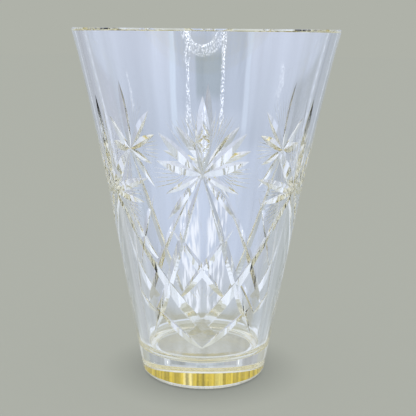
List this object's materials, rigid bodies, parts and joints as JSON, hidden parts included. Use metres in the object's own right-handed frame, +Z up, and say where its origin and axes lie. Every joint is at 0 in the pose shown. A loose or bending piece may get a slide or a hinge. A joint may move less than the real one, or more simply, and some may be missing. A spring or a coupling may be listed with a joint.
{
  "type": "cut glass vase",
  "caption": "Tall flared clear glass vase on a thick solid base, wheel-cut all round with leafy stars over a diamond lattice; it holds cut flowers and stands on its flat base.",
  "frame": {"origin": "on the vase's axis at the underside of its base", "axes": "+Z up the axis towards the mouth; -Y towards one of the high stars, so the pattern mirrors across the YZ plane"},
  "size_m": [0.1508, 0.1508, 0.203],
  "materials": {
    "clear_glass": "fire-polished clear lead glass with a faint straw tint in thick sections"
  },
  "bodies": {
    "root": {"glass_vase": "clear_glass"}
  },
  "joints": []
}
